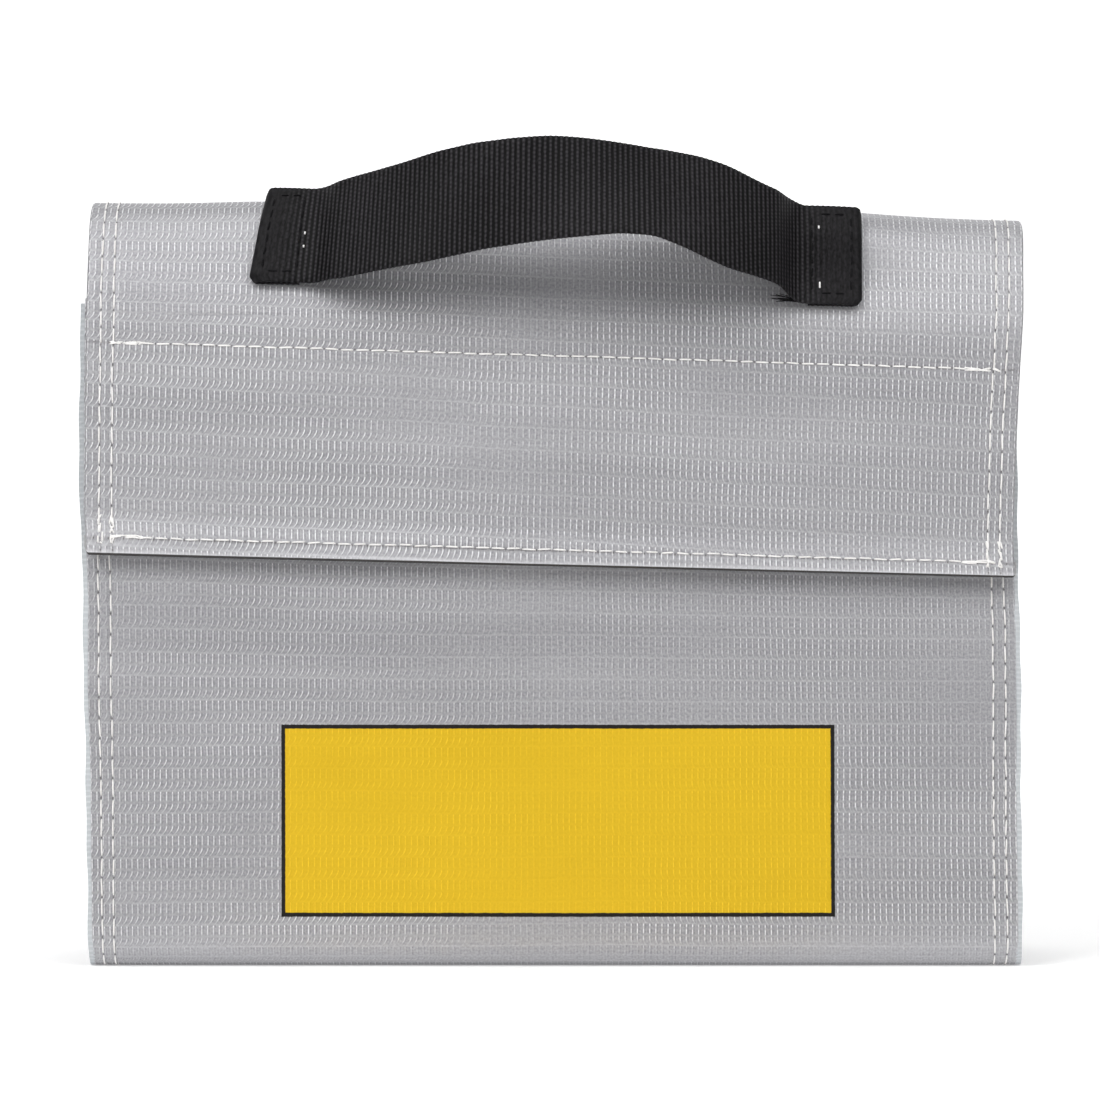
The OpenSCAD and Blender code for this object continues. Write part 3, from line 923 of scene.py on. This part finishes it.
def sew(name, ends, place, finish, lift=0.0):
    """One mesh of stitches on a surface; place(a, b, out) gives the surface's points."""
    ends = np.array(ends)
    middle = ends.mean(axis=1)
    low, high = (place(ends[:, k, 0], ends[:, k, 1], lift) for k in range(2))
    centre = place(middle[:, 0], middle[:, 1], lift)
    up = unit(place(middle[:, 0], middle[:, 1], lift + 0.5 * mm) - centre)
    along = high - low
    side = unit(np.cross(up, along))
    share = stitch_shape[None, :, 0:1]
    spine = centre[:, None] + along[:, None] * share + 2 * (low + high - 2 * centre)[:, None] * share ** 2
    girth = side[:, None] * stitch_shape[None, :, 1:2] + up[:, None] * stitch_shape[None, :, 2:3]
    points = spine + girth
    count = len(stitch_shape)
    faces = [tuple(n + k * count for n in face) for k in range(len(ends)) for face in stitch_faces]
    print(name, "has", len(ends), "stitches")
    return new_piece(name, points, faces, finish)


# %% [markdown]
# Two rows run along each side seam, down the front, under the base and up the back, and on past the mouth to
# the start of the hood.

# %% Side seams
for side, word in ((-1, "left"), (1, "right")):
    seam = []
    for row in seam_rows:
        seam += row_ends(1 * mm, hood_start, seam_pitch, stitch_shown, side * row, True)
    stitches = sew(f"{word}_seam_stitches", seam, on_bag, ivory_thread)
    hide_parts(f"{word}_seam_thread")
    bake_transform(stitches)

# %% Hems of the hood and flap
hems = []
for side in (-1, 1):
    for row in hood_rows:
        hems += row_ends(hood_start, flap_end - 2.5 * mm, seam_pitch, stitch_shown, side * row, True)
hood_stitches = sew("hood_hem_stitches", hems, on_hood, ivory_thread)
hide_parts("top_hem_thread", "flap_hem_thread")
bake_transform(hood_stitches)

# %% [markdown]
# Two level rows across the flap hold the hook tape behind it. The sewer ran to and fro at both ends of each
# row and at the lower corners of the flap, and the doubled thread lies there in small untidy heaps.

# %% Rows that hold the hook tape
row_reach = 113 * mm
tack_in, tack_out = 104 * mm, 114 * mm
corner_tack_pitch = 2.6 * mm
tape_ends = []
for row in tape_rows:
    tape_ends += row_ends(-row_reach, row_reach, tape_pitch, stitch_shown, row, False)
    for side in (-1, 1):
        near, far = sorted((side * tack_in, side * tack_out))
        tape_ends += tack_ends(near, far, tape_pitch, row, False)
for side in (-1, 1):
    for row in hood_rows:
        tape_ends += tack_ends(flap_end - 9.5 * mm, flap_end - 2.2 * mm, corner_tack_pitch, side * row, True,
                               slip=0.7)
tape_stitches = sew("flap_tape_stitches", tape_ends, on_hood, ivory_thread)
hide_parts("hook_tape_thread")
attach(tape_stitches, "flap")

# %% Rows that hold the loop tape, inside the pouch
tape_half = 111 * mm
inner_ends = []
for row in row_drops:
    inner_ends += row_ends(-tape_half, tape_half, tape_pitch, stitch_shown, row, False)


def inside_front(x, s, out):
    return on_bag(x, s, -cloth_t - np.asarray(out))


inner_stitches = sew("loop_tape_stitches", inner_ends, inside_front, ivory_thread)
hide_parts("loop_tape_thread")
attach(inner_stitches, "pouch")

# %% [markdown]
# ## Hook and loop tape
# Behind the flap, a tape of soft loops is sewn to the pouch and a tape of stiff hooks to the flap. The loop
# tape is a woven band with a brushed pile, so its face is a fine grid pushed up unevenly. The hooks are
# real small hooks: one is shaped as a bent, tapering bar, and a few thousand copies stand in rows.

# %% Loop tape
tape_start, tape_wide = 12.2 * mm, 50 * mm


def pile(x, s):
    """Height of the brushed loops, uneven from place to place."""
    fine = np.sin(x * 2900 + 3 * np.sin(s * 1700)) * np.sin(s * 3100 + 3 * np.sin(x * 1900))
    broad = np.sin(x * 410 + 2 * np.sin(s * 260)) * np.sin(s * 520 + x * 130)
    border = np.minimum(tape_half - np.abs(x), np.minimum(s - tape_start, tape_start + tape_wide - s))
    return 0.55 * mm + smooth((border - 1.2 * mm) / (1.0 * mm)) * (0.42 + 0.13 * fine + 0.06 * broad) * mm


def tape_finish(name, dark, light, roughness, scale):
    tape = Finish(name, roughness, on_sheet=False)
    tufts = tape.cloud(scale, detail=4.0)
    shade = tufts * 0.7 + tape.cloud(60) * 0.3
    tape.show("Base Color", tape.ramp(shade, (0.32, dark), (0.7, light)))
    tape.bump(tufts, 0.8, 0.3 * mm)
    return tape.material


loop_pile = tape_finish("black_loop_pile", (0.006, 0.006, 0.007), (0.050, 0.050, 0.054), 0.9, 1500.0)
hook_plastic = tape_finish("black_hook_plastic", (0.010, 0.010, 0.011), (0.040, 0.040, 0.043), 0.4, 700.0)
pile_step, loop_tape_t = 0.9 * mm, 0.5 * mm
pile_columns = mirrored(spread(0, tape_half, pile_step))
pile_rows = spread(tape_start, tape_start + tape_wide, pile_step)
loop_tape = lay_grid("loop_tape_band", pile_columns, pile_rows, lambda x, s: on_bag(x, s, pile(x, s)))
thicken(loop_tape, loop_tape_t, [loop_pile])
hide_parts("loop_tape")
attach(loop_tape, "pouch")

# %% Band of the hook tape
hook_pitch = 1.9 * mm
hook_start = flap_fold + tape_start
band_back, band_t = 0.35 * mm, 0.3 * mm


def band_place(x, s):
    return on_hood(x, s, -cloth_t - band_back - 0.05 * mm * np.cos(x * 2 * np.pi / hook_pitch))


band_columns = mirrored(spread(0, tape_half, hook_pitch))
band_rows = spread(hook_start, hook_start + tape_wide, hook_pitch)
hook_band = lay_grid("hook_tape_band", band_columns, band_rows, band_place)
thicken(hook_band, -band_t, [hook_plastic])

# %% One hook, and rows of its copies
bend = np.linspace(0, 1, 5)
hook_out, hook_up = 0.25 * np.sin(bend * 2.6) ** 2 * bend * mm, 0.62 * np.sin(bend * 2.3) * mm
hook_girth = (0.16 - 0.07 * bend) * mm
hook_ring = [(1, 1), (-1, 1), (-1, -1), (1, -1)]
hook_points = np.array([[out + w * a, w * b, up]
                        for out, up, w in zip(hook_out, hook_up, hook_girth) for a, b in hook_ring])
hook_faces = [(4 * j + k, 4 * j + (k + 1) % 4, 4 * j + 4 + (k + 1) % 4, 4 * j + 4 + k)
              for j in range(4) for k in range(4)] + [(19, 18, 17, 16)]
bare_before, bare_after = 1.6 * mm, 1.4 * mm
hooks = []
for j, s in enumerate(np.arange(hook_start + bare_before, hook_start + tape_wide - bare_after, hook_pitch)):
    for x in np.arange(-tape_half + bare_before, tape_half - bare_after, hook_pitch):
        hooks.append((x + (j % 2) * hook_pitch / 2, s, (-1) ** j))
hooks = np.array(hooks)
across = hooks[:, None, 0] + hooks[:, None, 2] * hook_points[None, :, 0]
along = hooks[:, None, 1] + hook_points[None, :, 1]
points = on_hood(across, along, -cloth_t - band_back - np.broadcast_to(hook_points[None, :, 2], across.shape))
faces = [tuple(n + k * len(hook_points) for n in face) for k in range(len(hooks)) for face in hook_faces]
hook_rows = new_piece("hook_tape_hooks", points, faces, hook_plastic)
hook_rows.data.shade_flat()
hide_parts("hook_tape")
for piece in (hook_band, hook_rows):
    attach(piece, "flap")
print("hook tape has", len(hooks), "hooks")

# %% [markdown]
# ## The handle
# The handle is a flat band of black webbing. At each end it is folded double and sewn down on the front of
# the hood; between them it stands off in a loop, tips forward and twists a little, as the photograph shows.
# A curve with a bevel could follow that, but it can't fold its end under or lie on the hood, so the band is
# laid as rings along its path. The ribs of the weave are in the mesh: every other warp yarn rises where its
# neighbour dips.

# %% Where the webbing runs
strap_half = 13.3 * mm
strap_t = 1.45 * mm
layer_low, layer_high = 0.78 * mm, 2.35 * mm
above_fold, lower_right = 16.5, 2.8    # mm from the flap's fold to the band's middle, and less at the right
foot_left, foot_right = -62.5 * mm, 64.5 * mm
end_left, end_right = -73.6 * mm, 77.3 * mm
loop_places = [0, 0.07, 0.14, 0.21, 0.28, 0.35, 0.42, 0.49, 0.56, 0.63, 0.70, 0.77, 0.84, 0.91, 0.97, 1]
loop_ups = mm * np.array([0, 1.9, 4.2, 6.6, 9.3, 11.6, 13.0, 13.9, 14.0, 13.9, 13.1, 11.0, 8.2, 5.3, 2.8, 0.8])
loop_outs = mm * np.array([
    0, 4.6, 10.2, 15.0, 18.4, 21.1, 23.0, 24.0, 23.9, 22.7, 20.7, 18.2, 15.0, 9.6, 3.4, 0])
loop_tilts = np.radians([24, 23, 21, 16, 8, 3, 4, 11, 21, 30, 35, 31, 25, 22, 18, 16])
loop_widths = [0.90, 0.99, 1, 1, 1, 1, 1, 1, 1, 1, 1.02, 1.05, 1.03, 0.90, 0.85, 0.90]
fine_places = np.linspace(0, 1, 201)
rounding = np.hanning(17) / np.hanning(17).sum()


def rounded_off(values):
    return np.convolve(np.pad(np.interp(fine_places, loop_places, values), 8, mode="edge"), rounding, "valid")


fine_tilts, fine_ups, fine_outs = rounded_off(loop_tilts), rounded_off(loop_ups), rounded_off(loop_outs)
climb = np.gradient(fine_ups, fine_places * (foot_right - foot_left))
fine_spreads = rounded_off(loop_widths) * np.sqrt(1 + climb ** 2)
stiff_from = 6 * mm
lean_places = np.array([-77, -63, -30, 30, 65, 78]) * mm
strap_leans = np.radians([11, 5, 1, 0, 0, 0])
print("the loop stands off by up to", round(fine_outs.max() / mm, 1), "mm")


# %% A point on the webbing
def strap_point(x, w, height):
    """Point on the band: x across the bag, w up across its width, height over the hood where it is sewn."""
    q = (x - foot_left) / (foot_right - foot_left)
    inner = np.clip(q, 0, 1)
    out_y, out_z = -np.interp(inner, fine_places, fine_outs), np.interp(inner, fine_places, fine_ups)
    middle_run = flap_fold - (above_fold - lower_right * inner) * mm
    root_y, root_z = on_line(middle_run, 0.0)
    tilt = np.interp(inner, fine_places, fine_tilts)
    from_end = np.minimum(x - foot_left, foot_right - x)
    sewn = 1 - smooth((from_end + 1 * mm) / (9 * mm))
    w = w * np.interp(inner, fine_places, fine_spreads)
    flat_y = root_y + out_y - np.cos(tilt) * height + np.sin(tilt) * w
    flat_z = root_z + out_z + np.sin(tilt) * height + np.cos(tilt) * w
    stiff = np.maximum(w - stiff_from, 0)
    lain_y, lain_z = on_line(middle_run - w + stiff, height)
    past_y, past_z = on_line(middle_run - w + stiff - 0.5 * mm, height)
    lain_y = lain_y + (past_y - lain_y) / (0.5 * mm) * stiff
    lain_z = lain_z + (past_z - lain_z) / (0.5 * mm) * stiff
    y = flat_y * (1 - sewn) + lain_y * sewn
    z = flat_z * (1 - sewn) + lain_z * sewn
    rise = z - root_z - out_z * (1 - sewn)
    return settle(np.stack([x + np.tan(np.interp(x, lean_places, strap_leans)) * rise, y, z], axis=-1))


# %% Section and path of the band
warp_pitch, weft_pitch = 0.55 * mm, 1.36 * mm
warp_yarns = 44
sewn_run = 74 * mm
face_places = (np.arange(warp_yarns) - (warp_yarns - 1) / 2) * warp_pitch


def strap_ring():
    """Places round the band's section, as w, thickness and the sign of the yarn that lies there."""
    half = strap_t / 2
    sign = np.where(np.arange(warp_yarns) % 2, 1.0, -1.0)
    drawn_in = strap_half - 0.1 * mm
    right = [(drawn_in, 0.75 * half, 0), (strap_half, 0, 0), (drawn_in, -0.75 * half, 0)]
    left = [(-w, -t, k) for w, t, k in right]
    top = [(w, half, k) for w, k in zip(face_places, sign)]
    bottom = [(w, -half, k) for w, k in zip(face_places[::-1], sign[::-1])]
    return np.array(top + right + bottom + left)


def band_path(foot, end, side):
    """x, height and travelled length of the band's middle, from mid span out, under and back."""
    middle = 0.5 * (foot_left + foot_right)
    out_x = np.linspace(middle, end, 2400)
    q = strap_point(out_x, 0.0 * out_x, layer_high + 0.0 * out_x)
    run = np.concatenate([[0], np.cumsum(np.linalg.norm(np.diff(q, axis=0), axis=1))])
    steps = np.arange(0, run[-1], weft_pitch / 4)
    x = np.interp(steps, run, out_x)
    height = np.full(len(x), layer_high)
    turn = np.linspace(0, math.pi, 12)[1:]
    radius = (layer_high - layer_low) / 2
    fold_x = end + side * radius * np.sin(turn)
    fold_h = layer_low + radius + radius * np.cos(turn)
    back_x = np.arange(0.25, abs(end - foot) / mm - 0.5, 0.25) * mm
    back = end - side * back_x
    runs = np.concatenate([steps, run[-1] + radius * turn, run[-1] + radius * math.pi + back_x])
    facing = np.concatenate([np.ones(len(x)), np.cos(turn), -np.ones(len(back))])
    sideways = np.concatenate([np.zeros(len(x)), np.sin(turn), np.zeros(len(back))])
    heights = np.concatenate([height, fold_h, np.full(len(back), layer_low)])
    return np.concatenate([x, fold_x, back]), heights, runs, facing, sideways * side


print("the band has", len(strap_ring()), "places round its section")

# %% One half of the handle
def half_handle(name, foot, end, side):
    ring = strap_ring()
    x, height, run, facing, sideways = band_path(foot, end, side)
    w, t, yarn = ring[:, 0][None], ring[:, 1][None], ring[:, 2][None]
    column = np.cos(np.pi * run[:, None] / weft_pitch)
    rib = 0.2 * mm * (column ** 2 * (0.7 + 0.3 * yarn * column) - 0.4) * (yarn != 0)
    rib = rib * np.where(run[:, None] > sewn_run, 0.25, 1.0)
    edged = w * (1 + 0.010 * (yarn == 0) * column ** 2)
    thick = t + rib * np.sign(t)
    at_end = smooth((side * (x - foot) / abs(end - foot) - 0.3) / 0.7)[:, None]
    spread_x = x[:, None] + sideways[:, None] * thick
    spread_x = spread_x - side * at_end * 1.0 * mm * smooth((-w - strap_half + 2.2 * mm) / (2.2 * mm)) ** 2
    spread_h = height[:, None] + facing[:, None] * thick
    points = strap_point(spread_x, edged, spread_h)
    around = ring.shape[0]
    faces = [(low + k, low + (k + 1) % around, low + around + (k + 1) % around, low + around + k)
             for low in range(0, (len(x) - 1) * around, around) for k in range(around)]
    faces += [tuple(range(around))[::-1], tuple(range((len(x) - 1) * around, len(x) * around))]
    piece = new_piece(name, points, [f if side < 0 else f[::-1] for f in faces], black_webbing)
    write_uv(piece.data, np.broadcast_to(run[:, None], points.shape[:2]).ravel() * side,
             np.broadcast_to(w, points.shape[:2]).ravel())
    for cap in list(piece.data.polygons)[-2:]:
        cap.use_smooth = False
    piece.data.set_sharp_from_angle(angle=math.radians(70))
    print(name, "is", round(run[-1] / mm, 1), "mm long with its turned end and has", len(faces), "faces")
    return piece


# %% Finish of the webbing, and the two halves
webbing_dark, webbing_light = (0.0010, 0.0010, 0.0012), (0.047, 0.044, 0.049)


def webbing_finish(name):
    band = Finish(name, 0.55)
    band.show("Specular IOR Level", 0.12)
    column = band.u.wave(2 * weft_pitch)
    warp = reckon("SINE", band.v * (math.pi / warp_pitch))
    bead_and_highlight = (column * warp * 0.3 + 0.7) * abs(column) ** 3.0
    pressed = band.ramp(abs(band.u), (sewn_run - 1 * mm, 1.0), (sewn_run + 1 * mm, 0.12))
    bead_and_highlight = bead_and_highlight * pressed + (pressed * -0.22 + 0.22)
    tone = band.cloud(45, (1, 0.6, 1), 3.0)
    fibre = band.cloud(1800, (1, 0.35, 1))
    # the beads of the weave are a bump, and are also painted lighter as highlights, with the dips between them
    # darker as shade
    shade = bead_and_highlight * 0.6 + (tone * 0.3 + fibre * 0.4)
    band.show("Base Color", band.ramp(shade, (0.38, webbing_dark), (1.0, webbing_light)))
    band.show("Roughness", tone * 0.2 + 0.45)
    band.bump(bead_and_highlight * 0.8 + fibre * 0.4, 0.5, 0.1 * mm)
    return band.material


black_webbing = webbing_finish("black_webbing")
left_handle = half_handle("left_handle_webbing", foot_left, end_left, -1)
right_handle = half_handle("right_handle_webbing", foot_right, end_right, 1)
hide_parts("handle_left_end", "handle_left_leg", "handle_grip")
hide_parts("handle_right_end", "handle_right_leg", "handle_grip")
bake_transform(left_handle)
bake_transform(right_handle)

# %% [markdown]
# A box of black stitches holds each end of the handle. Here and there the pale bobbin thread has been
# pulled up through the webbing, and it shows as white dots.

# %% Stitches of the handle
def on_strap(x, w, out=0.0):
    x, w, out = np.broadcast_arrays(np.asarray(x, float), np.asarray(w, float), np.asarray(out, float))
    return strap_point(x, w, layer_high + strap_t / 2 + out)


box_pitch = 3.4 * mm
box_shown = 0.72
box_half, box_reach = 10.6 * mm, 11 * mm
foot_inset, end_inset = 1.6 * mm, 1.2 * mm
bobbin_dots = {"left": [(-62.9, 0.0, 0.42), (-62.9, -3.7, 0.38)],
               "right": [(67.8, 6.8, 0.45), (68.0, -8.4, 0.95)]}
for word, foot, end, side in (("left", foot_left, end_left, -1), ("right", foot_right, end_right, 1)):
    near, far = foot + side * foot_inset, end - side * end_inset
    box = []
    for x in (near, far):
        box += row_ends(-box_reach, box_reach, box_pitch, box_shown, x, True)
    for w in (-box_half, box_half):
        box += row_ends(*sorted((near, far)), box_pitch, box_shown, w, False)
    stitches = sew(f"{word}_end_stitches", box, on_strap, black_thread, lift=0.03 * mm)
    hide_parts(f"{word}_end_thread")
    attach(stitches, "crown")
    dots = [[(x * mm, (w - half) * mm), (x * mm, (w + half) * mm)] for x, w, half in bobbin_dots[word]]
    pulled = sew(f"{word}_bobbin_dots", dots, on_strap, ivory_thread, lift=0.02 * mm)
    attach(pulled, "crown")

# %% [markdown]
# The cut end of the webbing has begun to fray at the right: a few fibres have worked loose below the band.
# Each is a thin tapering tube with three sides, bent a little.

# %% Loose fibres
def loose_fibres(name, roots, reach):
    points, faces = [], []
    for x, w in roots:
        turn = chance.uniform(0.05, 0.38)
        way = np.array([-math.cos(turn), chance.uniform(-0.25, 0.0), math.sin(turn)])
        sag = np.array([0, -0.3, -1.0]) * chance.uniform(0.3, 0.9) * mm
        start = on_strap(x * mm, w * mm, -strap_t * chance.uniform(0.2, 0.9))
        for j, share in enumerate(np.linspace(0, 1, 6)):
            middle = start + way * reach * chance.uniform(0.9, 1.1) * share + sag * share ** 2
            girth = (0.19 - 0.10 * share) * mm
            points += [middle + girth * np.array([0.3 * math.cos(a), math.cos(a), math.sin(a)])
                       for a in (0, 2.1, 4.2)]
            if j:
                low = len(points) - 6
                faces += [(low + k, low + (k + 1) % 3, low + 3 + (k + 1) % 3, low + 3 + k) for k in range(3)]
        faces += [(len(points) - 3, len(points) - 2, len(points) - 1)]
    piece = new_piece(name, np.array(points), faces, black_thread)
    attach(piece, "crown")
    print(name, "has", len(roots), "fibres")


fray_roots = [(65.0 - 0.25 * k, -12.9 + 0.12 * (k % 4)) for k in range(12)]
loose_fibres("frayed_fibres", fray_roots, 6.5 * mm)

# %% [markdown]
# ## Studio
# The photograph has a white ground and soft light from above and in front. A sheet of paper that curves up
# behind the bag gives the same. A plane with its far edge pulled up and bevelled would do; here the plane's
# points are laid anew along the sweep, so that each of its stretches has a measure. The paper shines a
# little by itself, more towards the back, as an evenly lit ground does.

# %% Floor that curves up behind
bpy.ops.object.select_all(action="DESELECT")
bpy.ops.mesh.primitive_plane_add(size=1)
floor = bpy.context.object
floor.name = "studio_floor"
floor_half, wall_foot, wall_round, wall_top = 9.0, 1.1, 0.9, 4.2
sweep = [(-floor_half, 0.0), (-1.0, 0.0), (wall_foot, 0.0)]
sweep += [(wall_foot + wall_round * math.sin(a), wall_round - wall_round * math.cos(a))
          for a in np.linspace(0.1, math.pi / 2, 14)]
sweep += [(wall_foot + wall_round, wall_top)]
floor_points = [(x, y, z) for y, z in sweep for x in (-floor_half, floor_half)]
floor_faces = [(2 * k, 2 * k + 1, 2 * k + 3, 2 * k + 2) for k in range(len(sweep) - 1)]
floor.data.clear_geometry()
floor.data.from_pydata(floor_points, [], floor_faces)
floor.data.shade_smooth()
paper = Finish("white_paper", 0.9, on_sheet=False)
paper.show("Base Color", paper.ramp(paper.cloud(40, detail=3.0), (0.3, 0.90), (0.7, 0.93)))
paper.show("Emission Color", (1, 1, 1))
depth = paper.add("ShaderNodeSeparateXYZ", 1, Vector=paper.place)
paper.show("Emission Strength", paper.ramp(depth * 0.4 + 0.2, (0.04, 0.15), (0.76, 0.62), (1.0, 0.72)))
floor.data.materials.append(paper.material)
print("the floor has", len(floor_faces), "faces")

# %% [markdown]
# Large soft boxes stand in front of the bag and over it, the left one stronger than the right. Small lamps
# would put hard glints on the coat.

# %% Lights
aim = (0, 0, 0.1)


def soft_light(name, place, size, power):
    lamp = bpy.data.lights.new(name, "AREA")
    lamp.shape = "RECTANGLE"
    lamp.size, lamp.size_y = size
    lamp.energy = power
    holder = bpy.data.objects.new(name, lamp)
    bpy.context.collection.objects.link(holder)
    holder.location = place
    holder.rotation_euler = (Vector(aim) - Vector(place)).to_track_quat("-Z", "Y").to_euler()


soft_light("left_box", (-0.85, -1.05, 1.10), (0.8, 1.2), 15)
soft_light("right_box", (0.85, -1.05, 1.10), (0.8, 1.2), 9.9)
soft_light("high_box", (-0.1, -1.0, 1.35), (0.8, 0.6), 3.0)
soft_light("top_box", (0.0, -0.15, 1.5), (0.9, 0.6), 5.0)
world = bpy.data.worlds.new("white_room")
bpy.context.scene.world = world
world.use_nodes = True
world.node_tree.nodes["Background"].inputs["Color"].default_value = (1, 1, 1, 1)
world.node_tree.nodes["Background"].inputs["Strength"].default_value = 0.02
bpy.context.scene.view_settings.view_transform = "Standard"
print("lights:", [lamp.name for lamp in bpy.data.lights])

# %% [markdown]
# The camera looks at the front from as far away as a product photographer would stand, so the sides hardly
# show.

# %% Camera
lens_data = bpy.data.cameras.new("photo_view")
camera = bpy.data.objects.new("photo_view", lens_data)
bpy.context.collection.objects.link(camera)
view_far, view_wide = 1.15, 0.2796
view_x, front_y, view_z = -0.0004, -0.020, 0.1050
camera.location = (view_x, front_y - view_far, view_z)
camera.rotation_euler = (math.pi / 2, 0, 0)
lens_data.sensor_width = 36
lens_data.lens = lens_data.sensor_width * view_far / view_wide
lens_data.clip_start, lens_data.clip_end = 0.05, 20
bpy.context.scene.camera = camera
print("the lens is", round(lens_data.lens), "mm long")
